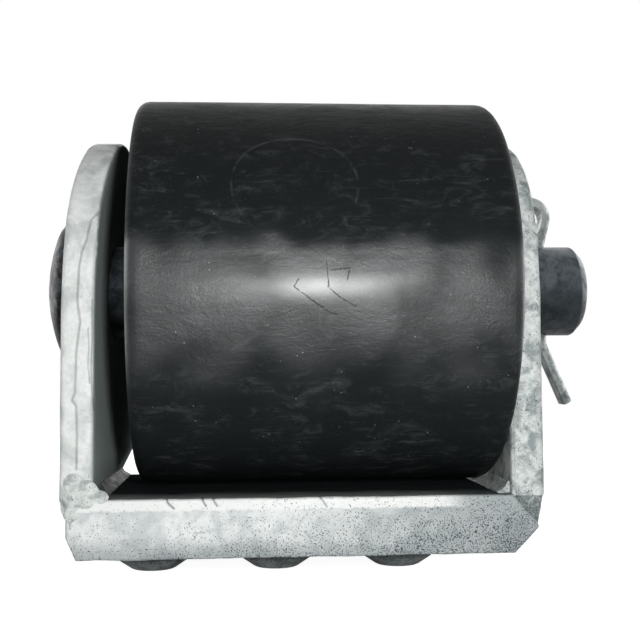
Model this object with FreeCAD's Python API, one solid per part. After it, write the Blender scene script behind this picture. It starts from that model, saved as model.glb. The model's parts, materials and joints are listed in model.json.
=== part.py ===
"""Buffer roller: a rubber roller on a clevis pin in a welded, galvanised bracket.

Units are millimetres. +X runs along the pin from its head to its free end, +Y points
backwards and +Z points up. The origin is the centre of the middle boss face, in the plane
that the bracket is bolted against.
"""
import math
import os

import FreeCAD
import Part

V = FreeCAD.Vector
X_AXIS = V(1, 0, 0)
Y_AXIS = V(0, 1, 0)
Z_AXIS = V(0, 0, 1)

# Roller
roller_diameter = 100.0
roller_length = 90.0
roller_corner_radius = 3.0
roller_corner_steps = 3        # straight steps that round each moulded corner
roller_side_gap = 0.5          # to the right cheek, which the roller is pushed against
roller_float = 8.5             # free travel along the pin, all of it at the left end
roller_base_gap = 0.8          # between the rubber and the base plate
core_outer_diameter = 34.0

# Clevis pin
pin_diameter = 24.0
pin_protrusion = 18.8          # of the free end beyond the right cheek
pin_end_chamfer = 2.2
pin_running_clearance = 0.08   # on the radius, in the cheeks and in the core
head_diameter = 36.0
head_height = 7.0
head_side_height = 3.5         # straight part of the head's rim
head_face_diameter = 22.0
head_gap = 0.3                 # between the head and the left cheek
cross_hole_diameter = 6.6
cross_hole_to_end = 11.5

# Split pin
split_wire_radius = 2.75       # each leg is a half round
split_wire_flats = 6           # flats that make up the half round
split_leg_gap = 0.3            # between the flats of the two legs
split_eye_radius = 2.9         # at the flat of the wire
split_eye_height = 8.1         # eye centre above the top of the clevis pin
split_eye_shift = 1.0          # eye centre from the legs, towards the cheek
split_eye_foot_angle = 14.0    # below the eye's level, where each side leaves the round
split_neck_height = 0.8        # straight wire above the clevis pin
split_bend_drop = 1.5          # straight wire below the clevis pin
split_bend_radius = 5.0
split_bend_angle = 23.0        # from the vertical, of the leg away from the cheek
split_near_bend_angle = 11.0   # from the vertical, of the leg beside the cheek
split_long_leg = 16.5
split_short_leg = 14.5

# Cheek plates
cheek_thickness = 8.0
cheek_width = 62.0
cheek_arc_rise = 8.0           # centre of the half-round top above the pin
cheek_edge_chamfer = 1.0

# Base plate
base_thickness = 14.0
base_end_inset = 1.5           # each plate end stands back from the cheek's outer face
base_weld_prep_x = 4.0
base_weld_prep_z = 5.0
base_corner_chamfer_x = 4.5
base_corner_chamfer_z = 5.5
base_top_edge_radius = 2.0
base_bottom_edge_radius = 1.2

# Welds
corner_weld_crown = 0.7
inner_weld_leg = 2.8
inner_weld_inset = 1.0         # each bead end stands back from the plate's edge
boss_weld_leg = 2.0

# Threaded bosses
boss_count = 3
boss_pitch = 32.0
boss_row_to_base_centre = 5.8
boss_diameter = 19.0
boss_height = 7.2
boss_face_diameter = 12.0
boss_face_cone_height = 2.5
tap_drill_diameter = 6.8       # M8 thread, left plain, right through the boss

# Levels and stations that follow from the sizes above
base_bottom = boss_height
base_top = base_bottom + base_thickness
axis_height = base_top + roller_base_gap + roller_diameter / 2
cheek_inner_width = roller_length + roller_side_gap + roller_float
bracket_half_width = cheek_inner_width / 2 + cheek_thickness
base_centre_x = boss_row_to_base_centre
roller_right_x = base_centre_x + cheek_inner_width / 2 - roller_side_gap
roller_left_x = roller_right_x - roller_length
bore_diameter = pin_diameter + 2 * pin_running_clearance
head_under_x = base_centre_x - bracket_half_width - head_gap
pin_end_x = base_centre_x + bracket_half_width + pin_protrusion
cross_hole_x = pin_end_x - cross_hole_to_end


def polygon_face(points):
    """Return the flat face bounded by straight lines through the points."""
    return Part.Face(Part.makePolygon(points + [points[0]]))


def cylinder_x(diameter, x_start, x_end):
    """Return a cylinder along X on the pin's axis."""
    return Part.makeCylinder(diameter / 2, x_end - x_start, V(x_start, 0, axis_height), X_AXIS)


def turned_about_pin(edges):
    """Revolve a closed half profile in the XZ plane about the pin's axis."""
    face = Part.Face(Part.Wire(edges))
    return face.revolve(V(0, 0, axis_height), X_AXIS, 360)


def lines(points):
    """Return the straight edges that join the points in order."""
    return [Part.LineSegment(a, b).toShape() for a, b in zip(points, points[1:])]


def mirrored_to_left(shape):
    """Return the mirror image of a right-hand piece about the middle of the base."""
    return shape.mirror(V(base_centre_x, 0, 0), X_AXIS)


def edges_where(shape, test):
    """Return the edges whose every vertex passes the test."""
    return [edge for edge in shape.Edges if all(test(vertex.Point) for vertex in edge.Vertexes)]


def near(a, b):
    """Say whether two coordinates are the same."""
    return abs(a - b) < 1e-6


def boss_stations():
    """Return the X of each boss, from left to right."""
    return [(i - (boss_count - 1) / 2) * boss_pitch for i in range(boss_count)]


def make_base_plate():
    """Plate with weld preparations and bevels at its ends and rounded long edges."""
    half = bracket_half_width - base_end_inset
    right = [
        V(half - base_weld_prep_x, 0, base_top),
        V(half, 0, base_top - base_weld_prep_z),
        V(half, 0, base_bottom + base_corner_chamfer_z),
        V(half - base_corner_chamfer_x, 0, base_bottom),
    ]
    left = [V(-p.x, p.y, p.z) for p in reversed(right)]
    section = polygon_face(right + left)
    section.translate(V(base_centre_x, -cheek_width / 2, 0))
    plate = section.extrude(Y_AXIS * cheek_width)

    def on_long_edge(level):
        return lambda p: near(p.z, level) and near(abs(p.y), cheek_width / 2)

    plate = plate.makeFillet(base_top_edge_radius, edges_where(plate, on_long_edge(base_top)))
    return plate.makeFillet(base_bottom_edge_radius, edges_where(plate, on_long_edge(base_bottom)))


def make_right_cheek():
    """Upright plate with a half-round top and the pin's hole."""
    inner_x = base_centre_x + cheek_inner_width / 2
    half = cheek_width / 2
    arc_centre_z = axis_height + cheek_arc_rise
    front_foot = V(inner_x, -half, base_top)
    front_shoulder = V(inner_x, -half, arc_centre_z)
    crown = V(inner_x, 0, arc_centre_z + half)
    back_shoulder = V(inner_x, half, arc_centre_z)
    back_foot = V(inner_x, half, base_top)
    edges = [
        Part.LineSegment(front_foot, front_shoulder).toShape(),
        Part.Arc(front_shoulder, crown, back_shoulder).toShape(),
        Part.LineSegment(back_shoulder, back_foot).toShape(),
        Part.LineSegment(back_foot, front_foot).toShape(),
    ]
    plate = Part.Face(Part.Wire(edges)).extrude(X_AXIS * cheek_thickness)

    def on_rim(p):
        return p.z > base_top or near(abs(p.y), half)

    rim = [edge for edge in edges_where(plate, on_rim) if edge.Length > cheek_thickness * 1.5]
    rim = [edge for edge in rim if not near(edge.Length, cheek_width)]
    plate = plate.makeChamfer(cheek_edge_chamfer, rim)
    return plate.cut(cylinder_x(bore_diameter, inner_x - 1, inner_x + cheek_thickness + 1))


def make_right_corner_weld():
    """Groove weld that fills the bevel between the cheek's foot and the plate's end."""
    outer_x = base_centre_x + bracket_half_width
    end_x = outer_x - base_end_inset
    root = V(end_x - base_weld_prep_x, -cheek_width / 2, base_top)
    upper_toe = V(outer_x, -cheek_width / 2, base_top)
    lower_toe = V(end_x, -cheek_width / 2, base_top - base_weld_prep_z)
    chord = lower_toe - upper_toe
    outward = V(-chord.z, 0, chord.x).normalize()
    crown = (upper_toe + lower_toe) * 0.5 + outward * corner_weld_crown
    edges = lines([lower_toe, root, upper_toe])
    edges.append(Part.Arc(upper_toe, crown, lower_toe).toShape())
    return Part.Face(Part.Wire(edges)).extrude(Y_AXIS * cheek_width)


def make_right_inner_weld():
    """Fillet weld in the corner between the cheek's inner face and the base plate."""
    inner_x = base_centre_x + cheek_inner_width / 2
    start_y = -cheek_width / 2 + base_top_edge_radius + inner_weld_inset
    section = polygon_face([
        V(inner_x, start_y, base_top),
        V(inner_x, start_y, base_top + inner_weld_leg),
        V(inner_x - inner_weld_leg, start_y, base_top),
    ])
    return section.extrude(Y_AXIS * (-2 * start_y))


def make_threaded_boss(x):
    """Turned boss with a coned face and a tapped hole, welded flat on the base plate."""
    bore = tap_drill_diameter / 2
    radius = boss_diameter / 2
    profile = [
        V(x + bore, 0, 0),
        V(x + boss_face_diameter / 2, 0, 0),
        V(x + radius, 0, boss_face_cone_height),
        V(x + radius, 0, base_bottom),
        V(x + bore, 0, base_bottom),
    ]
    return polygon_face(profile).revolve(V(x, 0, 0), Z_AXIS, 360)


def make_boss_welds():
    """Ring of fillet weld round the root of each boss, as separate solids."""
    rings = []
    for x in boss_stations():
        inner = x + boss_diameter / 2
        section = polygon_face([
            V(inner, 0, base_bottom),
            V(inner + boss_weld_leg, 0, base_bottom),
            V(inner, 0, base_bottom - boss_weld_leg),
        ])
        rings.append(section.revolve(V(x, 0, 0), Z_AXIS, 360))
    return Part.makeCompound(rings)


def make_clevis_pin():
    """Headed pin with a domed head, a chamfered end and a cross hole for the split pin."""
    z = axis_height
    head_outer_x = head_under_x - head_height
    shank = pin_diameter / 2
    rim = head_diameter / 2
    face_edge = V(head_outer_x, 0, z + head_face_diameter / 2)
    rim_edge = V(head_under_x - head_side_height, 0, z + rim)
    chord = rim_edge - face_edge
    outward = V(-chord.z, 0, chord.x).normalize()
    crown = (face_edge + rim_edge) * 0.5 + outward * (chord.Length * 0.12)
    edges = lines([V(head_outer_x, 0, z), face_edge])
    edges.append(Part.Arc(face_edge, crown, rim_edge).toShape())
    edges += lines([
        rim_edge,
        V(head_under_x, 0, z + rim),
        V(head_under_x, 0, z + shank),
        V(pin_end_x - pin_end_chamfer, 0, z + shank),
        V(pin_end_x, 0, z + shank - pin_end_chamfer),
        V(pin_end_x, 0, z),
        V(head_outer_x, 0, z),
    ])
    pin = turned_about_pin(edges)
    hole_start = V(cross_hole_x, 0, z - pin_diameter)
    return pin.cut(Part.makeCylinder(cross_hole_diameter / 2, 2 * pin_diameter, hole_start, Z_AXIS))


def bent_leg(side, length, degrees):
    """Return the path of one leg, from the clevis pin's top down to its cut end.

    side is +1 for the leg away from the cheek and -1 for the leg towards it. degrees is
    its bend from the vertical.
    """
    angle = math.radians(degrees)
    offset = side * split_leg_gap / 2
    top = V(cross_hole_x + offset, 0, axis_height + pin_diameter / 2 + split_neck_height)
    bend = V(top.x, 0, axis_height - pin_diameter / 2 - split_bend_drop)
    turn = split_bend_radius

    def on_bend(a):
        return V(bend.x + side * turn * (1 - math.cos(a)), 0, bend.z - turn * math.sin(a))

    bend_end = on_bend(angle)
    leg_end = bend_end + V(side * math.sin(angle), 0, -math.cos(angle)) * length
    return [
        Part.LineSegment(top, bend).toShape(),
        Part.Arc(bend, on_bend(angle / 2), bend_end).toShape(),
        Part.LineSegment(bend_end, leg_end).toShape(),
    ]


def make_split_pin():
    """Bent half-round wire: a teardrop eye and two legs spread below the clevis pin."""
    right_leg = bent_leg(1, split_long_leg, split_bend_angle)
    left_leg = bent_leg(-1, split_short_leg, split_near_bend_angle)
    neck_right = right_leg[0].Vertexes[0].Point
    neck_left = left_leg[0].Vertexes[0].Point
    eye_z = axis_height + pin_diameter / 2 + split_eye_height
    eye = V(cross_hole_x - split_eye_shift, 0, eye_z)

    def on_eye(degrees):
        a = math.radians(degrees)
        return eye + V(math.cos(a), 0, math.sin(a)) * split_eye_radius

    right_foot = on_eye(-split_eye_foot_angle)
    left_foot = on_eye(180 + 2 * split_eye_foot_angle)
    loop = [
        Part.LineSegment(neck_right, right_foot).toShape(),
        Part.Arc(right_foot, on_eye(90), left_foot).toShape(),
        Part.LineSegment(left_foot, neck_left).toShape(),
    ]
    path = Part.Wire(Part.__sortEdges__(right_leg + loop + left_leg))
    return swept_half_round(path, right_leg[-1])


def swept_half_round(path, last_leg):
    """Sweep the wire's half-round section along the path, flat side inwards."""
    end = last_leg.Vertexes[1].Point
    along = (last_leg.Vertexes[0].Point - end).normalize()
    outward = V(along.z, 0, -along.x)
    half_round = []
    for i in range(split_wire_flats + 1):
        angle = math.pi * i / split_wire_flats
        half_round.append(end + (Y_AXIS * math.cos(angle) + outward * math.sin(angle)) * split_wire_radius)
    section = Part.makePolygon(half_round + [half_round[0]])
    sweep = Part.BRepOffsetAPI.MakePipeShell(path)
    sweep.setBiNormalMode(Y_AXIS)
    sweep.setTransitionMode(2)
    sweep.add(section)
    sweep.build()
    sweep.makeSolid()
    return sweep.shape()


def make_rubber_roller():
    """Moulded rubber body with rounded corners, bonded to the core."""
    outer_z = axis_height + roller_diameter / 2
    bore_z = axis_height + core_outer_diameter / 2
    corner = []
    for i in range(roller_corner_steps + 1):
        angle = math.pi / 2 * i / roller_corner_steps
        inset = roller_corner_radius * (1 - math.cos(angle))
        drop = roller_corner_radius * (1 - math.sin(angle))
        corner.append((inset, drop))
    profile = [V(roller_left_x, 0, bore_z)]
    profile += [V(roller_left_x + inset, 0, outer_z - drop) for inset, drop in corner]
    profile += [V(roller_right_x - inset, 0, outer_z - drop) for inset, drop in reversed(corner)]
    profile += [V(roller_right_x, 0, bore_z)]
    return polygon_face(profile).revolve(V(0, 0, axis_height), X_AXIS, 360)


def make_roller_core():
    """Steel tube inside the rubber, which runs on the pin."""
    tube = cylinder_x(core_outer_diameter, roller_left_x, roller_right_x)
    return tube.cut(cylinder_x(bore_diameter, roller_left_x, roller_right_x))


def build_nodes():
    """Return each node's name and shape."""
    right_cheek = make_right_cheek()
    right_corner_weld = make_right_corner_weld()
    right_inner_weld = make_right_inner_weld()
    nodes = {
        "base_plate": make_base_plate(),
        "right_cheek": right_cheek,
        "left_cheek": mirrored_to_left(right_cheek),
        "right_corner_weld": right_corner_weld,
        "left_corner_weld": mirrored_to_left(right_corner_weld),
        "right_inner_weld": right_inner_weld,
        "left_inner_weld": mirrored_to_left(right_inner_weld),
        "boss_welds": make_boss_welds(),
        "clevis_pin": make_clevis_pin(),
        "split_pin": make_split_pin(),
        "rubber_roller": make_rubber_roller(),
        "roller_core": make_roller_core(),
    }
    for number, x in enumerate(boss_stations(), start=1):
        nodes["threaded_boss_%d" % number] = make_threaded_boss(x)
    return nodes


os.makedirs("parts", exist_ok=True)
for node_name, node_shape in build_nodes().items():
    node_shape.exportStep("parts/%s.step" % node_name)
    print(node_name, node_shape.isValid(), len(node_shape.Solids), round(node_shape.Volume, 1))
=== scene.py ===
"""Looks of the buffer roller: its zinc-coated bracket, clevis pin, split pin and rubber."""

import json
import logging
import math
from dataclasses import dataclass
from enum import Enum

import bmesh
import bpy
from mathutils import Matrix, Vector, noise


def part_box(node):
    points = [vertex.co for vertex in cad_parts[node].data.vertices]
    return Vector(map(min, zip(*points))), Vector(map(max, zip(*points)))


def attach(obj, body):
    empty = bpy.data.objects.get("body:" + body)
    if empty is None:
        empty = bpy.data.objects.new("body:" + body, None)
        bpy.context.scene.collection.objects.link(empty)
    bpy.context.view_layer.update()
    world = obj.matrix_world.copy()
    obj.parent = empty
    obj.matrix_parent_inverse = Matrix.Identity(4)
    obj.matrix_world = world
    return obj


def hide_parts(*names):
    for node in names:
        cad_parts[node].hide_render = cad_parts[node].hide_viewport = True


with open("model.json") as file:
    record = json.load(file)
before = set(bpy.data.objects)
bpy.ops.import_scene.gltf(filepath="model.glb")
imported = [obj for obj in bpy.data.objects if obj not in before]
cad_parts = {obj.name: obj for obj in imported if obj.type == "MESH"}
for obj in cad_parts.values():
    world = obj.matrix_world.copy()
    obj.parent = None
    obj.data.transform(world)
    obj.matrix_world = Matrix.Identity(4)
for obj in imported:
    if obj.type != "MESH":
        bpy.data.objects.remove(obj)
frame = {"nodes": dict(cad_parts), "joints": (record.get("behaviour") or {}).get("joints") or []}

log = logging.getLogger("buffer_roller")
MM = 0.001
X_AXIS = Vector((1, 0, 0))
Y_AXIS = Vector((0, 1, 0))
Z_AXIS = Vector((0, 0, 1))
Colour = tuple[float, float, float]
FrontPath = tuple[tuple[float, float], ...]


class Body(Enum):
    """The moving bodies that pieces ride on."""

    BRACKET = "bracket"
    PIN = "pin"
    ROLLER = "roller"


class Slot(Enum):
    """The record's material slots."""

    GALVANISED = "galvanised_steel"
    PIN = "pin_steel"
    SPLIT_PIN = "split_pin_steel"
    CORE = "core_steel"
    RUBBER = "rubber"


class Side(Enum):
    """Which end of the base plate a piece stands at."""

    LEFT = "left"
    RIGHT = "right"


@dataclass(frozen=True)
class Extent:
    """Lowest and highest corner of a node at rest, in millimetres."""

    low: Vector
    high: Vector

    @classmethod
    def of(cls, node: str) -> "Extent":
        """Measure one node of the frame."""
        low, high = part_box(node)
        return cls(Vector(low) / MM, Vector(high) / MM)

    @property
    def centre(self) -> Vector:
        """Return the middle of the box."""
        return (self.low + self.high) / 2

    @property
    def size(self) -> Vector:
        """Return the box's three side lengths."""
        return self.high - self.low


def axis_height() -> float:
    """Return the height of the pin's axis in millimetres."""
    return frame["joints"][0]["pos_m"][2] / MM


# Turning a mesh in millimetres into a finished piece


def make_piece(name: str, mesh: bmesh.types.BMesh, body: Body) -> bpy.types.Object:
    """Turn a mesh in millimetres into an object in metres.

    Args:
        name: the piece's name.
        mesh: the mesh, which is used up.
        body: the body that the piece rides on.

    Returns:
        The new object, at the origin.
    """
    bmesh.ops.remove_doubles(mesh, verts=mesh.verts, dist=1e-4)
    bmesh.ops.recalc_face_normals(mesh, faces=mesh.faces)
    bmesh.ops.scale(mesh, vec=Vector((MM, MM, MM)), verts=mesh.verts)
    data = bpy.data.meshes.new(name)
    mesh.to_mesh(data)
    mesh.free()
    piece = bpy.data.objects.new(name, data)
    bpy.context.scene.collection.objects.link(piece)
    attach(piece, body.value)
    return piece


def settle(piece: bpy.types.Object) -> None:
    """Apply a piece's modifiers to its mesh.

    Args:
        piece: the piece, whose mesh is replaced.
    """
    graph = bpy.context.evaluated_depsgraph_get()
    graph.update()
    made = bpy.data.meshes.new_from_object(piece.evaluated_get(graph), depsgraph=graph)
    old = piece.data
    piece.modifiers.clear()
    piece.data = made
    bpy.data.meshes.remove(old)


def cut_away(piece: bpy.types.Object, cutter: bmesh.types.BMesh) -> None:
    """Cut a solid, given in millimetres, out of a piece.

    Args:
        piece: the piece, in metres.
        cutter: the closed solid to take away, which is used up.
    """
    bmesh.ops.recalc_face_normals(cutter, faces=cutter.faces)
    bmesh.ops.scale(cutter, vec=Vector((MM, MM, MM)), verts=cutter.verts)
    data = bpy.data.meshes.new("cutter")
    cutter.to_mesh(data)
    cutter.free()
    tool = bpy.data.objects.new("cutter", data)
    bpy.context.scene.collection.objects.link(tool)
    boolean = piece.modifiers.new("cut", "BOOLEAN")
    boolean.operation = "DIFFERENCE"
    boolean.solver = "EXACT"
    boolean.object = tool
    settle(piece)
    bpy.data.objects.remove(tool)
    bpy.data.meshes.remove(data)


def rod(radius: float, start: Vector, end: Vector, segments: int = 96) -> bmesh.types.BMesh:
    """Return a capped round rod between two points, in millimetres.

    Args:
        radius: the rod's radius.
        start: the middle of its first end.
        end: the middle of its other end.
        segments: the number of segments round.

    Returns:
        The closed mesh.
    """
    mesh = bmesh.new()
    along = end - start
    turn = Z_AXIS.rotation_difference(along.normalized()).to_matrix().to_4x4()
    place = Matrix.Translation((start + end) / 2) @ turn
    bmesh.ops.create_cone(mesh, cap_ends=True, segments=segments, radius1=radius, radius2=radius,
                          depth=along.length, matrix=place)
    return mesh


def shade_smooth(piece: bpy.types.Object, sharp_degrees: float = 40.0) -> None:
    """Shade a piece smoothly, keeping edges over the given angle sharp."""
    data = piece.data
    data.shade_smooth()
    data.set_sharp_from_angle(angle=math.radians(sharp_degrees))


def profile_edges(mesh: bmesh.types.BMesh, points: list[Vector]) -> list:
    """Add a chain of vertices and edges, and return them.

    Args:
        mesh: the mesh to add to.
        points: the chain's points in order.

    Returns:
        The new vertices, then the new edges.
    """
    verts = [mesh.verts.new(point) for point in points]
    edges = [mesh.edges.new(pair) for pair in zip(verts, verts[1:])]
    return verts + edges


def turned(points: list[Vector], centre: Vector, axis: Vector, steps: int) -> bmesh.types.BMesh:
    """Spin an open profile right round an axis.

    Args:
        points: the profile, from pole to pole or back to its own start.
        centre: a point on the axis.
        axis: the axis' direction.
        steps: the number of segments round.

    Returns:
        The closed mesh.
    """
    mesh = bmesh.new()
    chain = profile_edges(mesh, points)
    bmesh.ops.spin(mesh, geom=chain, cent=centre, axis=axis, angle=math.tau, steps=steps, use_merge=True)
    bmesh.ops.remove_doubles(mesh, verts=mesh.verts, dist=1e-4)
    return mesh


# Finishes


class Recipe:
    """One material's node tree, with the few kinds of node that the finishes share."""

    def __init__(self, name: str) -> None:
        """Start a material whose patterns are placed in millimetres on the piece."""
        self.material = bpy.data.materials.new(name)
        self.material.use_nodes = True
        self.nodes = self.material.node_tree.nodes
        self.links = self.material.node_tree.links
        self.shader = self.nodes["Principled BSDF"]
        where = self.nodes.new("ShaderNodeTexCoord")
        scaled = self.nodes.new("ShaderNodeMapping")
        scaled.inputs["Scale"].default_value = (1 / MM,) * 3
        self.links.new(where.outputs["Object"], scaled.inputs["Vector"])
        self.place = scaled.outputs["Vector"]

    def stretched(self, scale: Colour, turn: Colour = (0, 0, 0)) -> bpy.types.NodeSocket:
        """Return the place in millimetres, scaled and turned in degrees.

        Args:
            scale: the factor along each axis; less than 1 draws a pattern out.
            turn: the turn about each axis in degrees.

        Returns:
            The new place's socket.
        """
        node = self.nodes.new("ShaderNodeMapping")
        node.inputs["Scale"].default_value = scale
        node.inputs["Rotation"].default_value = [math.radians(a) for a in turn]
        self.links.new(self.place, node.inputs["Vector"])
        return node.outputs["Vector"]

    def noise(self, grain: float, detail: float = 3.0, rough: float = 0.5, distort: float = 0.0,
              place: bpy.types.NodeSocket | None = None) -> bpy.types.NodeSocket:
        """Return noise between 0 and 1 whose blobs are about grain millimetres across.

        Args:
            grain: the blobs' size in millimetres.
            detail: the number of finer layers.
            rough: how strong the finer layers are.
            distort: how much the blobs are bent.
            place: the place to use instead of the plain one.

        Returns:
            The noise as the value's socket.
        """
        node = self.nodes.new("ShaderNodeTexNoise")
        node.inputs["Scale"].default_value = 1 / grain
        node.inputs["Detail"].default_value = detail
        node.inputs["Roughness"].default_value = rough
        node.inputs["Distortion"].default_value = distort
        self.links.new(place or self.place, node.inputs["Vector"])
        return node.outputs["Fac"]

    def cells(self, grain: float, output: str = "Distance") -> bpy.types.NodeSocket:
        """Return a cell pattern whose cells are about grain millimetres across."""
        node = self.nodes.new("ShaderNodeTexVoronoi")
        node.inputs["Scale"].default_value = 1 / grain
        self.links.new(self.place, node.inputs["Vector"])
        return node.outputs[output]

    def attribute(self, name: str) -> bpy.types.NodeSocket:
        """Return a number that the piece's own mesh carries."""
        node = self.nodes.new("ShaderNodeAttribute")
        node.attribute_name = name
        return node.outputs["Fac"]

    def ramp(self, value: bpy.types.NodeSocket, start: float, end: float,
             low: float = 0.0, high: float = 1.0) -> bpy.types.NodeSocket:
        """Return the value taken from start..end to low..high, held at both ends.

        Args:
            value: the value to take.
            start: the value that becomes low.
            end: the value that becomes high.
            low: the result at start.
            high: the result at end.

        Returns:
            The result as the value's socket.
        """
        node = self.nodes.new("ShaderNodeMapRange")
        node.interpolation_type = "SMOOTHSTEP"
        for name, number in zip(("From Min", "From Max", "To Min", "To Max"), (start, end, low, high)):
            node.inputs[name].default_value = number
        self.links.new(value, node.inputs["Value"])
        return node.outputs["Result"]

    def along(self, direction: Colour) -> bpy.types.NodeSocket:
        """Return how far the place lies along a direction, in millimetres."""
        return self.vector("DOT_PRODUCT", self.place, Vector(direction)).outputs["Value"]

    def distance(self, point: Colour) -> bpy.types.NodeSocket:
        """Return the distance from a point given in millimetres."""
        return self.vector("DISTANCE", self.place, Vector(point)).outputs["Value"]

    def segment_distance(self, place: bpy.types.NodeSocket, start: Vector,
                         end: Vector) -> bpy.types.NodeSocket:
        """Return the distance of a place from a straight line between two points.

        Args:
            place: the place, in millimetres.
            start: the line's first end.
            end: its other end, which isn't the same point.

        Returns:
            The distance in millimetres.
        """
        run = end - start
        away = self.vector("SUBTRACT", place, start).outputs["Vector"]
        share = self.vector("DOT_PRODUCT", away, run / run.length_squared).outputs["Value"]
        share = self.calc("MINIMUM", self.calc("MAXIMUM", share, 0.0), 1.0)
        foot = self.vector("SCALE", run)
        self.links.new(share, foot.inputs["Scale"])
        return self.vector("DISTANCE", away, foot.outputs["Vector"]).outputs["Value"]

    def vector(self, operation: str, *values: bpy.types.NodeSocket | Vector) -> bpy.types.Node:
        """Return a node that works on one or two places, each a socket or a fixed vector.

        Args:
            operation: the node's operation.
            values: its inputs in order.

        Returns:
            The new node.
        """
        node = self.nodes.new("ShaderNodeVectorMath")
        node.operation = operation
        for socket, value in zip(node.inputs, values):
            if isinstance(value, Vector):
                socket.default_value = value
            else:
                self.links.new(value, socket)
        return node

    def calc(self, operation: str, first: bpy.types.NodeSocket,
             second: bpy.types.NodeSocket | float) -> bpy.types.NodeSocket:
        """Return one operation on two values, such as MAXIMUM.

        Args:
            operation: the operation.
            first: its first value.
            second: its second value, a socket or a plain number.

        Returns:
            The result as the value's socket.
        """
        node = self.nodes.new("ShaderNodeMath")
        node.operation = operation
        self.links.new(first, node.inputs[0])
        if isinstance(second, float):
            node.inputs[1].default_value = second
        else:
            self.links.new(second, node.inputs[1])
        return node.outputs["Value"]

    def times(self, first: bpy.types.NodeSocket,
              second: bpy.types.NodeSocket | float) -> bpy.types.NodeSocket:
        """Return the product of two values."""
        return self.calc("MULTIPLY", first, second)

    def plus(self, first: bpy.types.NodeSocket,
             second: bpy.types.NodeSocket | float) -> bpy.types.NodeSocket:
        """Return the sum of two values."""
        return self.calc("ADD", first, second)

    def blend(self, share: bpy.types.NodeSocket, first: bpy.types.NodeSocket | Colour,
              second: bpy.types.NodeSocket | Colour) -> bpy.types.NodeSocket:
        """Return a colour between first, at share 0, and second, at share 1.

        Args:
            share: how much of the second colour there is.
            first: the colour at share 0.
            second: the colour at share 1.

        Returns:
            The mixed colour's socket.
        """
        node = self.nodes.new("ShaderNodeMix")
        node.data_type = "RGBA"
        self.links.new(share, node.inputs["Factor"])
        for socket, value in ((node.inputs[6], first), (node.inputs[7], second)):
            if isinstance(value, tuple):
                socket.default_value = (*value, 1.0)
            else:
                self.links.new(value, socket)
        return node.outputs[2]

    def relief(self, height: bpy.types.NodeSocket, depth: float,
               below: bpy.types.NodeSocket | None = None) -> bpy.types.NodeSocket:
        """Return a bumped normal whose height range is depth millimetres.

        Args:
            height: the height, between 0 and 1.
            depth: the height's range in millimetres.
            below: a normal that is already bumped.

        Returns:
            The new normal's socket.
        """
        node = self.nodes.new("ShaderNodeBump")
        node.inputs["Strength"].default_value = 1.0
        node.inputs["Distance"].default_value = depth * MM
        self.links.new(height, node.inputs["Height"])
        if below is not None:
            self.links.new(below, node.inputs["Normal"])
        return node.outputs["Normal"]

    def feed(self, socket: str, value: bpy.types.NodeSocket) -> None:
        """Link a value to one of the shader's sockets."""
        self.links.new(value, self.shader.inputs[socket])

    def fix(self, **numbers: float) -> None:
        """Set plain numbers on the shader's sockets, named in lower case with underscores."""
        for name, number in numbers.items():
            self.shader.inputs[name.replace("_", " ").title().replace("Ior", "IOR")].default_value = number


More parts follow.
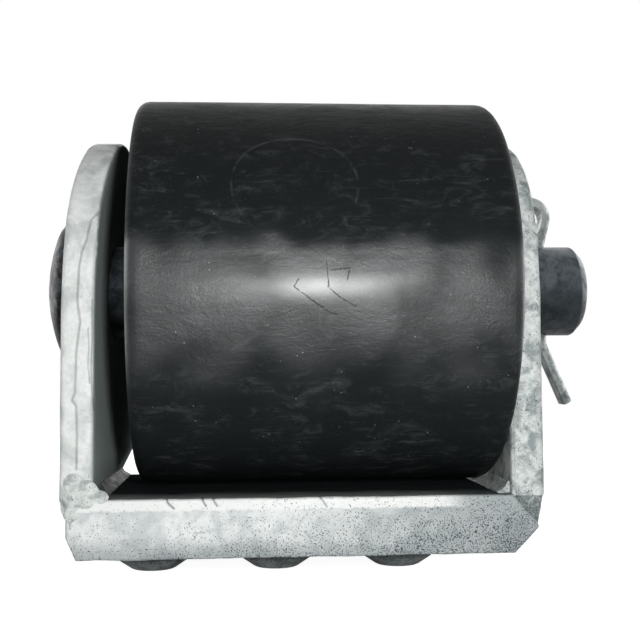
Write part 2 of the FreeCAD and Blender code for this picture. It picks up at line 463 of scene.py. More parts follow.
@dataclass(frozen=True)
class ZincFinish:
    """Hot-dip zinc: mottled light grey with dark pits, with painted shade where asked and, on the base, a
    painted highlight along the top edge.
    """

    name: str
    light: Colour = (0.66, 0.70, 0.68)
    dull: Colour = (0.40, 0.44, 0.43)
    stain: Colour = (0.10, 0.12, 0.125)
    painted_shade: Colour = (0.030, 0.034, 0.036)
    mottle: float = 7.0
    pit_size: float = 0.33
    pit_share: float = 0.0
    pit_lean_right: float = 0.0
    pit_lean_down: float = 0.0
    painted_edge_and_shade: bool = False
    painted_edge_highlight: Colour = (0.90, 0.92, 0.90)
    shade: Colour = (0.17, 0.205, 0.215)

    def make(self) -> bpy.types.Material:
        """Build the material."""
        zinc = Recipe(self.name)
        patches = zinc.ramp(zinc.noise(self.mottle, 5.0, 0.62, 0.4), 0.40, 0.66)
        grains = zinc.ramp(zinc.noise(0.9, 3.0, 0.6), 0.35, 0.70)
        cover = zinc.blend(patches, self.light, self.dull)
        cover = zinc.blend(zinc.times(grains, 0.30), cover, self.dull)
        # Painted highlight along the top edge and painted shade low down.
        if self.painted_edge_and_shade:
            cover = self.edge_and_shade(zinc, cover)
        pits = self.pits(zinc)
        cover = zinc.blend(pits, cover, self.stain)
        # Painted shade: the mesh's share darkens the zinc where little light falls, on the left cheek's
        # inner face and the base plate's top.
        cover = zinc.blend(zinc.attribute("painted_shade"), cover, self.painted_shade)
        cover = zinc.blend(zinc.attribute("groove"), cover, self.stain)
        zinc.feed("Base Color", cover)
        zinc.feed("Roughness", zinc.ramp(patches, 0.0, 1.0, 0.42, 0.58))
        lumps = zinc.relief(zinc.noise(2.2, 4.0, 0.6), 0.16)
        fine = zinc.relief(grains, 0.035, lumps)
        zinc.feed("Normal", zinc.relief(zinc.times(pits, -1.0), 0.10, fine))
        # Where the painted shade is, the zinc reflects nothing, so it stays dark.
        zinc.feed("Specular IOR Level", zinc.ramp(zinc.attribute("painted_shade"), 0.0, 0.6, 0.14, 0.0))
        return zinc.material

    def edge_and_shade(self, zinc: Recipe, cover: bpy.types.NodeSocket) -> bpy.types.NodeSocket:
        """Return the colour with a painted highlight along the top edge, painted shade low down, and darker
        towards the right.

        Args:
            zinc: the recipe that the nodes are added to.
            cover: the colour before it.

        Returns:
            The new colour, for the base plate's heights and length in millimetres.
        """
        ragged = zinc.times(zinc.noise(2.6, 4.0, 0.65), 1.6)
        height = zinc.plus(zinc.along((0, 0, 1)), ragged)
        # Painted shade low down, and darker towards the right.
        low = zinc.ramp(height, 9.0, 14.0, 0.55, 0.0)
        right = zinc.ramp(zinc.along((1, 0, 0)), -12.0, 56.0, 0.0, 0.66)
        cover = zinc.blend(zinc.calc("MAXIMUM", low, right), cover, self.shade)
        # Painted highlight along the rounded top edge, fading out towards the right.
        edge = zinc.ramp(height, 19.0, 19.6)
        fading = zinc.ramp(zinc.along((1, 0, 0)), 37.0, 47.0, 0.9, 0.0)
        return zinc.blend(zinc.times(edge, fading), cover, self.painted_edge_highlight)

    def pits(self, zinc: Recipe) -> bpy.types.NodeSocket:
        """Return where the dark pits are, more of them to the right and lower down.

        Args:
            zinc: the recipe that the nodes are added to.

        Returns:
            How pitted the zinc is, as the value's socket.
        """
        spots = zinc.noise(self.pit_size, 1.5, 0.5, 0.3)
        crowd = zinc.noise(5.0, 2.0)
        lean = zinc.along((self.pit_lean_right, 0.0, -self.pit_lean_down))
        level = zinc.plus(zinc.times(crowd, 0.16), lean)
        level = zinc.plus(level, self.pit_share)
        return zinc.ramp(zinc.plus(spots, level), 0.70, 0.745)


@dataclass(frozen=True)
class RubberFinish:
    """Moulded black rubber: scuffed, streaked and rubbed shiny in a band along its front, whose lighter grey
    is painted sheen.
    """

    name: str
    axis_z: float
    black: Colour = (0.0095, 0.0115, 0.012)
    grey: Colour = (0.050, 0.056, 0.058)
    ring_centre: Colour = (2.9, -45.1, 93.3)
    ring_radius: float = 14.4
    dust: Colour = (0.30, 0.32, 0.32)
    blotch: Colour = (12.5, -37.5, 39.1)
    scratches: tuple[FrontPath, ...] = (
        ((2.3, 69.5), (6.3, 66.5)), ((6.3, 66.5), (10.2, 63.8)), ((10.2, 63.8), (12.0, 63.4)),
        ((9.8, 69.5), (12.5, 67.1)), ((12.5, 67.1), (16.1, 65.1)), ((9.5, 75.3), (10.0, 69.5)),
        ((10.2, 73.1), (14.7, 73.6)), ((14.7, 73.6), (14.1, 70.9)), ((3.3, 71.2), (2.3, 69.5)))

    def make(self) -> bpy.types.Material:
        """Build the material."""
        rubber = Recipe(self.name)
        streaks = rubber.noise(3.2, 6.0, 0.72, 1.2, rubber.stretched((0.45, 1, 1), (0, 14, 0)))
        scuffs = rubber.noise(13.0, 6.0, 0.68, 1.4, rubber.stretched((0.8, 1, 1)))
        fine = rubber.noise(0.7, 3.0, 0.65, 0.3)
        scratches = rubber.noise(0.9, 3.0, 0.6, 0.6, rubber.stretched((0.07, 1, 1), (0, -38, 0)))
        fibres = rubber.noise(0.7, 3.0, 0.6, 0.6, rubber.stretched((1, 1, 0.09), (0, 6, 0)))
        wear_and_sheen = rubber.attribute("wear_and_sheen")
        marks = rubber.times(rubber.ramp(streaks, 0.44, 0.70), rubber.ramp(scuffs, 0.42, 0.62))
        thin = rubber.times(rubber.ramp(scratches, 0.60, 0.68), rubber.ramp(streaks, 0.40, 0.60))
        hairs = rubber.times(rubber.ramp(fibres, 0.62, 0.70), rubber.ramp(scuffs, 0.38, 0.55))
        ring = self.ring(rubber)
        share = rubber.times(marks, 0.62)
        # The rubbed band's grey share is partly real rubbing and partly painted sheen.
        for mark, strength in ((thin, 0.32), (hairs, 0.26), (wear_and_sheen, 0.35), (ring, 0.75)):
            share = rubber.plus(share, rubber.times(mark, strength))
        share = rubber.times(share, rubber.ramp(rubber.distance(self.blotch), 2.6, 4.2, 0.15, 1.0))
        tone = rubber.blend(share, self.black, self.grey)
        dusty = rubber.times(rubber.ramp(rubber.cells(1.7), 0.10, 0.05), rubber.ramp(scuffs, 0.52, 0.62))
        tone = rubber.blend(dusty, tone, self.dust)
        rubber.feed("Base Color", tone)
        rubber.feed("Roughness", rubber.ramp(scuffs, 0.3, 0.75, 0.36, 0.52))
        soft = rubber.relief(scuffs, 0.30)
        lined = rubber.relief(streaks, 0.20, soft)
        skin = rubber.relief(fine, 0.085, lined)
        rubber.feed("Normal", rubber.relief(ring, 0.06, skin))
        intact = rubber.ramp(self.scratched(rubber), 0.0, 1.0, 1.0, 0.0)
        polish = rubber.times(rubber.ramp(wear_and_sheen, 0.0, 0.9), intact)
        rubber.feed("Specular IOR Level", rubber.ramp(polish, 0.0, 1.0, 0.03, 0.40))
        rubber.feed("Coat Weight", rubber.ramp(polish, 0.0, 1.0, 0.01, 0.33))
        rubber.fix(coat_roughness=0.25)
        return rubber.material

    def scratched(self, rubber: Recipe) -> bpy.types.NodeSocket:
        """Return how much of the polish the scratches at the middle of the front take off.

        Args:
            rubber: the recipe that the nodes are added to.

        Returns:
            The share that is lost, as the value's socket.
        """
        flat = rubber.stretched((1, 0, 1))
        ragged = rubber.times(rubber.noise(0.6, 3.0), 0.5)
        front = rubber.ramp(rubber.along((0, -1, 0)), 38.0, 44.0)
        total = None
        for (start_x, start_z), (end_x, end_z) in self.scratches:
            near = rubber.segment_distance(flat, Vector((start_x, 0, start_z)), Vector((end_x, 0, end_z)))
            mark = rubber.ramp(rubber.plus(near, ragged), 0.55, 0.25)
            total = mark if total is None else rubber.calc("MAXIMUM", total, mark)
        return rubber.times(rubber.times(total, front), 0.62)

    def ring(self, rubber: Recipe) -> bpy.types.NodeSocket:
        """Return a faint round mark, brighter along its top.

        Args:
            rubber: the recipe that the nodes are added to.

        Returns:
            How strong the mark is, as the value's socket.
        """
        away = rubber.distance(self.ring_centre)
        inner = rubber.ramp(away, self.ring_radius - 0.5, self.ring_radius)
        outer = rubber.ramp(away, self.ring_radius, self.ring_radius + 0.5, 1.0, 0.0)
        band = rubber.times(inner, outer)
        broken = rubber.ramp(rubber.noise(3.5, 3.0), 0.36, 0.62)
        middle = self.ring_centre[2]
        upper = rubber.ramp(rubber.along((0, 0, 1)), middle - 8, middle + 8, 0.35, 1.0)
        return rubber.times(rubber.times(band, broken), upper)


@dataclass(frozen=True)
class SteelFinish:
    """Bare or thinly plated steel with specks, stains and fine lines."""

    name: str
    bright: Colour
    dark: Colour
    speck: float = 0.5
    roughness: float = 0.38
    stain: Colour | None = None
    stain_below_x: float = -1000.0
    line_stretch: Colour = (1.0, 1.0, 1.0)

    def make(self) -> bpy.types.Material:
        """Build the material."""
        steel = Recipe(self.name)
        clouds = steel.ramp(steel.noise(3.0, 4.0, 0.6, 0.5), 0.35, 0.68)
        specks = steel.ramp(steel.noise(self.speck, 2.0, 0.6), 0.52, 0.66)
        tone = steel.blend(clouds, self.bright, self.dark)
        tone = steel.blend(steel.times(specks, 0.55), tone, self.dark)
        if self.stain is not None:
            patches = steel.ramp(steel.noise(2.2, 4.0, 0.65, 0.6), 0.38, 0.62)
            edge = self.stain_below_x
            here = steel.ramp(steel.along((1, 0, 0)), edge, edge + 1.0, 1.0, 0.0)
            tone = steel.blend(steel.times(patches, here), tone, self.stain)
        steel.feed("Base Color", tone)
        steel.feed("Roughness", steel.ramp(clouds, 0.0, 1.0, self.roughness, self.roughness + 0.16))
        lines = steel.noise(0.35, 3.0, 0.6, 0.0, steel.stretched(self.line_stretch))
        grained = steel.relief(lines, 0.03)
        steel.feed("Normal", steel.relief(specks, 0.025, grained))
        steel.fix(metallic=0.9)
        return steel.material


def dress(piece: bpy.types.Object, material: bpy.types.Material) -> None:
    """Give a piece one material all over."""
    piece.data.materials.clear()
    piece.data.materials.append(material)


# Zinc coat


@dataclass(frozen=True)
class Groove:
    """A line in the coat on the bracket's front, along a path of X and Z."""

    path: FrontPath
    width: float
    depth: float
    dark: float = 1.0

    def nearness(self, x: float, z: float) -> float:
        """Return 1 on the line, falling to 0 at its full width.

        Args:
            x: the point's X in millimetres.
            z: its Z in millimetres.

        Returns:
            How near the point is, between 0 and 1.
        """
        nearest = 1e9
        for (ax, az), (bx, bz) in zip(self.path, self.path[1:]):
            run_x, run_z = bx - ax, bz - az
            share = ((x - ax) * run_x + (z - az) * run_z) / max(run_x * run_x + run_z * run_z, 1e-9)
            share = min(1.0, max(0.0, share))
            nearest = min(nearest, math.hypot(x - ax - share * run_x, z - az - share * run_z))
        return max(0.0, 1.0 - (nearest / self.width) ** 2)


@dataclass(frozen=True)
class Lump:
    """A rounded swelling or drip in the coat."""

    centre: tuple[float, float, float]
    spread: tuple[float, float, float]
    height: float

    def rise(self, point: Vector) -> float:
        """Return how far the coat is raised at a point.

        Args:
            point: the point in millimetres.

        Returns:
            The rise in millimetres.
        """
        parts = zip(point, self.centre, self.spread)
        away = sum(((value - middle) / reach) ** 2 for value, middle, reach in parts)
        return self.height * math.exp(-away)


@dataclass(frozen=True)
class ZincCoat:
    """The uneven zinc skin on a steel piece: waves, dimples, grooves and drips."""

    voxel: float = 0.55
    wave: float = 0.16
    dimple: float = 0.09
    grain: float = 0.045
    flat_share: float = 0.35
    fine_cuts: int = 2
    grooves: tuple[Groove, ...] = ()
    lumps: tuple[Lump, ...] = ()
    painted_shade_facing: Colour | None = None
    painted_shade_front: float = 0.6
    smoothing: int = 0

    def cover(self, piece: bpy.types.Object, front_y: float) -> None:
        """Round off a piece's arrises and lay the coat on it.

        Args:
            piece: the piece, whose mesh is replaced.
            front_y: the Y of the bracket's front, where the mesh is made finer.
        """
        skin = piece.modifiers.new("skin", "REMESH")
        skin.mode = "VOXEL"
        skin.voxel_size = self.voxel * MM
        settle(piece)
        mesh = bmesh.new()
        mesh.from_mesh(piece.data)
        bmesh.ops.scale(mesh, vec=Vector((1 / MM,) * 3), verts=mesh.verts)
        for _ in range(self.smoothing):
            bmesh.ops.smooth_vert(mesh, verts=mesh.verts, factor=0.5,
                                  use_axis_x=True, use_axis_y=True, use_axis_z=True)
        mesh.normal_update()
        if self.fine_cuts:
            self.refine(mesh, front_y)
        self.lay(mesh, front_y)
        bmesh.ops.scale(mesh, vec=Vector((MM, MM, MM)), verts=mesh.verts)
        for face in mesh.faces:
            face.smooth = True
        mesh.to_mesh(piece.data)
        mesh.free()

    def refine(self, mesh: bmesh.types.BMesh, front_y: float) -> None:
        """Divide the faces on the front, so that thin lines can be carried.

        Args:
            mesh: the piece in millimetres.
            front_y: the Y of the bracket's front.
        """
        edges = {edge for face in mesh.faces for edge in face.edges
                 if face.normal.y < -0.5 and face.calc_center_median().y < front_y + 1.2}
        bmesh.ops.subdivide_edges(mesh, edges=list(edges), cuts=self.fine_cuts, use_grid_fill=True)
        bmesh.ops.triangulate(mesh, faces=[face for face in mesh.faces if len(face.verts) > 4])
        mesh.normal_update()

    def lay(self, mesh: bmesh.types.BMesh, front_y: float) -> None:
        """Move each vertex along its normal, and note its groove's depth and its share of painted shade.

        Args:
            mesh: the piece in millimetres.
            front_y: the Y of the bracket's front.
        """
        layer = mesh.verts.layers.float.new("groove")
        painted_shade = mesh.verts.layers.float.new("painted_shade")
        moves = []
        for vert in mesh.verts:
            point = vert.co
            share = self.flat_share if abs(vert.normal.x) > 0.7 else 1.0
            rise = self.wave * noise.noise(point / 9.0) + self.dimple * noise.noise(point / 3.2)
            rise = share * (rise + self.grain * noise.noise(point / 1.1))
            rise += sum(lump.rise(point) for lump in self.lumps)
            dark = 0.0
            if point.y < front_y + 2.0:
                for groove in self.grooves:
                    near = groove.nearness(point.x, point.z)
                    rise -= groove.depth * near
                    dark = max(dark, groove.dark * near)
            vert[layer] = dark
            # Painted shade on faces turned the given way, growing further back from the front.
            if self.painted_shade_facing is not None:
                facing = min(1.0, max(0.0, (vert.normal.dot(Vector(self.painted_shade_facing)) - 0.55) / 0.35))
                back = min(1.0, max(0.0, (point.y - front_y - 0.6) / 12.0))
                vert[painted_shade] = facing * (self.painted_shade_front + (1 - self.painted_shade_front) * back)
            moves.append(vert.normal * rise)
        for vert, move in zip(mesh.verts, moves):
            vert.co += move


LEFT_RIM_GROOVES = (
    Groove(((-41.6, 101.2), (-41.7, 97.6), (-42.3, 93.5), (-43.1, 90.0), (-44.3, 88.5), (-45.6, 87.1),
            (-46.2, 82.5), (-47.2, 79.2), (-47.6, 76.1), (-47.8, 67.9), (-47.0, 62.7), (-47.9, 55.5),
            (-48.1, 46.1), (-48.8, 44.5), (-47.8, 43.1), (-47.6, 36.1), (-47.7, 28.5)), 0.36, 0.24, 0.50),
    Groove(((-45.1, 61.3), (-44.9, 57.3), (-45.1, 52.6), (-44.6, 48.4)), 0.24, 0.12, 0.45),
    Groove(((-44.2, 67.9), (-44.1, 60.8), (-44.4, 51.5), (-43.8, 42.1)), 0.22, 0.10, 0.35),
)
BASE_GROOVES = (
    Groove(((-26.9, 22.0), (-26.5, 20.4), (-25.0, 19.0)), 0.3, 0.2, 0.8),
    Groove(((-18.5, 21.4), (-18.2, 20.5), (-17.6, 19.5)), 0.3, 0.2, 0.8),
    Groove(((-15.9, 21.1), (-15.5, 20.2), (-15.0, 19.5)), 0.3, 0.2, 0.7),
    Groove(((9.2, 21.2), (9.9, 20.3), (10.8, 18.9)), 0.3, 0.2, 0.6),
    Groove(((-18.5, 13.8), (-19.7, 13.1), (-20.1, 12.4), (-20.4, 11.7)), 0.16, 0.06, 0.5),
    Groove(((5.3, 13.4), (6.5, 12.2), (8.2, 11.0)), 0.16, 0.06, 0.5),
)


# Bracket


@dataclass
class CheekPlate:
    """Upright plate with a half-round top and the pin's hole."""

    side: Side
    rim_bevel: float = 1.3
    hole_radius: float = 12.3
    foot_overlap: float = 0.6
    arc_steps: int = 64
    lean_from_z: float = 60.0
    left_lean: float = 0.00118
    right_lean: float = 0.00050
    left_back_lean: float = 0.058
    weld_top_z: float = 22.0
    weld_fade: float = 7.0

    def build(self) -> bpy.types.Object:
        """Build and dress the plate."""
        node = f"{self.side.value}_cheek"
        box = Extent.of(node)
        half = box.size.y / 2
        arc_z = box.high.z - half
        mesh = bmesh.new()
        foot_z = box.low.z - self.foot_overlap
        front = profile_edges(mesh, [Vector((box.low.x, -half, z)) for z in (foot_z, arc_z)])
        bmesh.ops.spin(mesh, geom=[front[1]], cent=Vector((box.low.x, 0, arc_z)), axis=X_AXIS,
                       angle=-math.pi, steps=self.arc_steps)
        shoulder = min(mesh.verts, key=lambda v: (v.co - Vector((box.low.x, half, arc_z))).length)
        foot = mesh.verts.new(Vector((box.low.x, half, foot_z)))
        mesh.edges.new((shoulder, foot))
        mesh.edges.new((foot, front[0]))
        face = bmesh.ops.contextual_create(mesh, geom=mesh.edges[:])["faces"][0]
        grown = bmesh.ops.extrude_face_region(mesh, geom=[face])["geom"]
        bmesh.ops.translate(mesh, vec=Vector((box.size.x, 0, 0)),
                            verts=[item for item in grown if isinstance(item, bmesh.types.BMVert)])
        rim = [edge for edge in mesh.edges if abs(edge.verts[0].co.x - edge.verts[1].co.x) < 1e-6
               and max(v.co.z for v in edge.verts) > foot_z + 1]
        bmesh.ops.recalc_face_normals(mesh, faces=mesh.faces)
        bmesh.ops.bevel(mesh, geom=rim, offset=self.rim_bevel, segments=2, profile=0.5,
                        affect="EDGES", material=-1)
        piece = make_piece(f"{self.side.value}_cheek_plate", mesh, Body.BRACKET)
        reach = Vector((20, 0, 0))
        axis = Vector((box.centre.x, 0, axis_height()))
        cut_away(piece, rod(self.hole_radius, axis - reach, axis + reach))
        self.coat(box).cover(piece, -half)
        for vert in piece.data.vertices:
            vert.co.x += self.lean(vert.co / MM, half) * MM
        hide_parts(node)
        dress(piece, self.finish().make())
        return piece

    def lean(self, point: Vector, half: float) -> float:
        """Return how far the welding has pulled the plate inwards at a point.

        Args:
            point: the point in millimetres.
            half: half of the plate's width.

        Returns:
            The move along X in millimetres.
        """
        above = max(0.0, point.z - self.lean_from_z)
        if self.side is Side.RIGHT:
            return -self.right_lean * above * above
        clear_of_weld = min(1.0, max(0.0, (point.z - self.weld_top_z) / self.weld_fade))
        backwards = self.left_back_lean * (point.y + half)
        return self.left_lean * above * above + backwards * clear_of_weld

    def coat(self, box: Extent) -> ZincCoat:
        """Return this plate's coat, with the runs and beads that the side has.

        Returns:
            The coat, still to be laid.
        """
        if self.side is Side.RIGHT:
            return ZincCoat(lumps=self.right_runs())
        beads = tuple(Lump((-43.4 + 0.2 * math.sin(3.1 * i), -30.6, 79.0 + 2.1 * i), (0.8, 1.4, 0.9),
                           0.45 + 0.2 * math.sin(2.3 * i)) for i in range(10))
        # The left plate's inner face gets painted shade all over.
        return ZincCoat(grooves=LEFT_RIM_GROOVES, lumps=beads, painted_shade_facing=(1.0, 0.0, 0.0), painted_shade_front=1.0)

    def right_runs(self) -> tuple[Lump, ...]:
        """Return the runs in the zinc on the right plate's rim."""
        return (Lump((62.4, -30.8, 69.5), (0.9, 2.0, 6.0), 0.45),
                Lump((58.6, -30.8, 60.0), (1.2, 2.0, 9.0), 0.30),
                Lump((61.4, -30.8, 47.0), (1.1, 2.0, 7.0), 0.25))

    def finish(self) -> ZincFinish:
        """Return the zinc of this plate."""
        if self.side is Side.LEFT:
            # The left plate's painted shade is a darker grey of its zinc.
            return ZincFinish("zinc_left_cheek", light=(0.86, 0.885, 0.865), dull=(0.56, 0.60, 0.585),
                              painted_shade=(0.25, 0.29, 0.28), pit_share=-0.12)
        return ZincFinish("zinc_right_cheek", light=(0.70, 0.74, 0.72), dull=(0.27, 0.31, 0.31),
                          mottle=3.6, pit_share=-0.02)


@dataclass
class BasePlate:
    """Thick plate with weld preparations and bevels at its ends."""

    left_prep: tuple[float, float] = (4.0, 5.0)
    right_prep: tuple[float, float] = (6.0, 7.6)
    left_corner: tuple[float, float] = (2.4, 5.2)
    right_corner: tuple[float, float] = (6.0, 6.2)
    edge_bevel: float = 2.4

    def build(self) -> bpy.types.Object:
        """Build and dress the plate."""
        box = Extent.of("base_plate")
        mesh = bmesh.new()
        place = Matrix.Translation(box.centre) @ Matrix.Diagonal((*box.size, 1))
        bmesh.ops.create_cube(mesh, size=1.0, matrix=place)
        ends = ((box.low.x, -1, self.left_prep, self.left_corner),
                (box.high.x, 1, self.right_prep, self.right_corner))
        for end, outward, prep, corner in ends:
            self.slice_corner(mesh, end, outward, box.high.z, prep, 1)
            self.slice_corner(mesh, end, outward, box.low.z, corner, -1)
        half = box.size.y / 2
        long_edges = [edge for edge in mesh.edges
                      if all(abs(abs(v.co.y) - half) < 1e-4 for v in edge.verts)
                      and abs(edge.verts[0].co.y - edge.verts[1].co.y) < 1e-4]
        bmesh.ops.recalc_face_normals(mesh, faces=mesh.faces)
        bmesh.ops.bevel(mesh, geom=long_edges, offset=self.edge_bevel, segments=4, profile=0.5,
                        affect="EDGES", material=-1, clamp_overlap=True)
        piece = make_piece("coated_base_plate", mesh, Body.BRACKET)
        # The base plate's top, behind its front edge, gets painted shade.
        ZincCoat(voxel=0.62, grooves=BASE_GROOVES, flat_share=1.0, painted_shade_facing=(0.0, 0.0, 1.0)).cover(piece, -half)
        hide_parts("base_plate")
        # The base's zinc has a painted highlight along its top edge and painted shade low down.
        dress(piece, ZincFinish("zinc_base", pit_share=0.11, pit_lean_right=0.0008, pit_lean_down=0.0075,
                                light=(0.86, 0.89, 0.88), dull=(0.60, 0.64, 0.64),
                                stain=(0.08, 0.10, 0.11), painted_edge_and_shade=True).make())
        return piece

    def slice_corner(self, mesh: bmesh.types.BMesh, end: float, outward: int, level: float,
                     cut: tuple[float, float], up: int) -> None:
        """Cut one long corner off the plate's end.

        Args:
            mesh: the plate.
            end: X of the plate's end.
            outward: +1 at the right end, -1 at the left.
            level: Z of the face that the cut starts from.
            cut: how far the cut reaches along X and Z.
            up: +1 for a corner of the top face, -1 for the bottom.
        """
        point = Vector((end - outward * cut[0], 0, level))
        normal = Vector((outward * cut[1], 0, up * cut[0])).normalized()
        geom = mesh.verts[:] + mesh.edges[:] + mesh.faces[:]
        made = bmesh.ops.bisect_plane(mesh, geom=geom, plane_co=point, plane_no=normal, clear_outer=True)
        edges = [item for item in made["geom_cut"] if isinstance(item, bmesh.types.BMEdge)]
        bmesh.ops.contextual_create(mesh, geom=edges)


@dataclass
class WeldBead:
    """A straight run of weld along Y with the ripples of its passes."""

    name: str
    node: str
    section: tuple[tuple[float, float], ...]
    start_y: float
    end_y: float
    ripple: float = 0.22
    pitch: float = 1.7
    step: float = 0.45
    finish: ZincFinish = ZincFinish("zinc_weld", light=(0.58, 0.62, 0.60), mottle=3.0, pit_share=0.0)

    def build(self) -> bpy.types.Object:
        """Build and dress the bead."""
        mesh = bmesh.new()
        mesh.faces.new([mesh.verts.new(Vector((x, self.start_y, z))) for x, z in self.section])
        bmesh.ops.subdivide_edges(mesh, edges=mesh.edges[:], cuts=3)
        face = next(iter(mesh.faces))
        grown = bmesh.ops.extrude_face_region(mesh, geom=[face])["geom"]
        tops = [item for item in grown if isinstance(item, bmesh.types.BMVert)]
        bmesh.ops.translate(mesh, vec=Vector((0, self.end_y - self.start_y, 0)), verts=tops)
        runs = [edge for edge in mesh.edges if abs(edge.verts[0].co.y - edge.verts[1].co.y) > 1]
        cuts = int((self.end_y - self.start_y) / self.step)
        bmesh.ops.subdivide_edges(mesh, edges=runs, cuts=cuts, use_grid_fill=False)
        bmesh.ops.recalc_face_normals(mesh, faces=mesh.faces)
        mesh.normal_update()
        for vert in mesh.verts:
            phase = vert.co.y / self.pitch + 0.35 * noise.noise(vert.co / 2.5)
            wave = abs(math.sin(math.pi * phase)) - 0.5
            lump = 0.5 * noise.noise(vert.co / 4.0) + 0.3 * noise.noise(vert.co / 1.6)
            vert.co += vert.normal * (self.ripple * wave + 0.35 * lump)
        piece = make_piece(self.name, mesh, Body.BRACKET)
        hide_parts(self.node)
        shade_smooth(piece, 60)
        dress(piece, self.finish.make())
        return piece


@dataclass
class CornerWelds:
    """The groove welds in the bracket's lower outer corners."""

    set_in: float = 0.35
    low_slope: float = 1.5
    left_set_back: float = 0.2
    right_set_back: float = 1.6
    right_reach_in: float = 2.0
    right_reach_down: float = 2.6
    left_light: Colour = (0.60, 0.64, 0.62)
    # Painted shade: the right weld's dark zinc colour.
    right_painted_shade: Colour = (0.15, 0.175, 0.18)

    def build(self) -> list[bpy.types.Object]:
        """Build and dress both welds."""
        made = []
        for side, outward in ((Side.LEFT, -1), (Side.RIGHT, 1)):
            box = Extent.of(f"{side.value}_corner_weld")
            outer = box.high.x if outward > 0 else box.low.x
            inner = box.low.x if outward > 0 else box.high.x
            outer -= outward * self.set_in
            low_z, set_back, light = box.low.z, self.left_set_back, self.left_light
            if side is Side.RIGHT:
                inner, low_z = inner - self.right_reach_in, low_z - self.right_reach_down
                # The right weld is coloured dark as painted shade in its recessed, set-back end.
                set_back, light = self.right_set_back, self.right_painted_shade
            bulge = (outer - outward * self.set_in, (box.low.z + box.high.z) / 2)
            section = ((inner, box.high.z + 0.3), (outer - outward * 0.5, box.high.z + 0.8),
                       (outer, box.high.z), bulge, (outer - outward * self.low_slope, low_z))
            finish = ZincFinish(f"zinc_{side.value}_corner", light=light, mottle=2.2, pit_share=0.05)
            bead = WeldBead(f"{side.value}_corner_bead", f"{side.value}_corner_weld", section,
                            box.low.y + set_back, box.high.y - 0.3, finish=finish)
            made.append(bead.build())
        return made


@dataclass
class WeldToe:
    """The lumpy end of the left corner's weld, washed over the front of the joint."""

    lumps: tuple[tuple[float, float, float], ...] = (
        (-48.2, 25.2, 2.9), (-45.2, 23.7, 2.8), (-41.9, 21.9, 2.1), (-48.6, 21.4, 2.7),
        (-45.4, 20.9, 2.3), (-48.9, 17.8, 2.1), (-48.9, 14.8, 1.5))
    depth_share: float = 0.34
    set_back: float = 0.35

    def build(self) -> bpy.types.Object:
        """Build the lumps, given by X, Z and radius, and dress them as one skin."""
        front = Extent.of("left_cheek").low.y
        mesh = bmesh.new()
        for x, z, radius in self.lumps:
            flat = Matrix.Diagonal((1.0, self.depth_share, 0.9, 1.0))
            place = Matrix.Translation((x, front + self.set_back, z)) @ flat
            bmesh.ops.create_icosphere(mesh, subdivisions=3, radius=radius, matrix=place)
        piece = make_piece("left_weld_toe", mesh, Body.BRACKET)
        coat = ZincCoat(voxel=0.35, wave=0.30, dimple=0.22, grain=0.06, fine_cuts=0, smoothing=14)
        coat.cover(piece, front)
        dress(piece, ZincFinish("zinc_weld_toe", light=(0.76, 0.80, 0.77), dull=(0.40, 0.44, 0.43),
                                mottle=2.4, pit_share=-0.05).make())
        return piece


@dataclass
class InnerWelds:
    """The fillet welds in the bracket's inner corners."""

    sag: float = 0.2
    overlap: float = 0.4

    def build(self) -> list[bpy.types.Object]:
        """Build and dress both welds."""
        made = []
        for side, inward in ((Side.LEFT, 1), (Side.RIGHT, -1)):
            box = Extent.of(f"{side.value}_inner_weld")
            plate = box.low.x if inward > 0 else box.high.x
            far = box.high.x if inward > 0 else box.low.x
            middle = ((plate + far) / 2 - inward * self.sag, (box.low.z + box.high.z) / 2 - self.sag)
            bury = plate - inward * self.overlap
            section = ((bury, box.low.z - self.overlap), (bury, box.high.z),
                       (plate + inward * 0.3, box.high.z), middle, (far, box.low.z + 0.3),
                       (far, box.low.z - self.overlap))
            bead = WeldBead(f"{side.value}_inner_bead", f"{side.value}_inner_weld", section,
                            box.low.y, box.high.y, ripple=0.16, finish=self.finish(side))
            made.append(bead.build())
        return made

    def finish(self, side: Side) -> ZincFinish:
        """Return the weld's finish, which on the left is painted black as shade."""
        if side is Side.LEFT:
            # Painted shade: the left weld sits where there is only shade, so it is coloured near black.
            return ZincFinish("zinc_left_inner", light=(0.028, 0.032, 0.033),
                              dull=(0.02, 0.024, 0.025), mottle=2.2)
        return ZincFinish("zinc_right_inner", light=(0.66, 0.70, 0.68), dull=(0.30, 0.34, 0.335),
                          mottle=2.2)


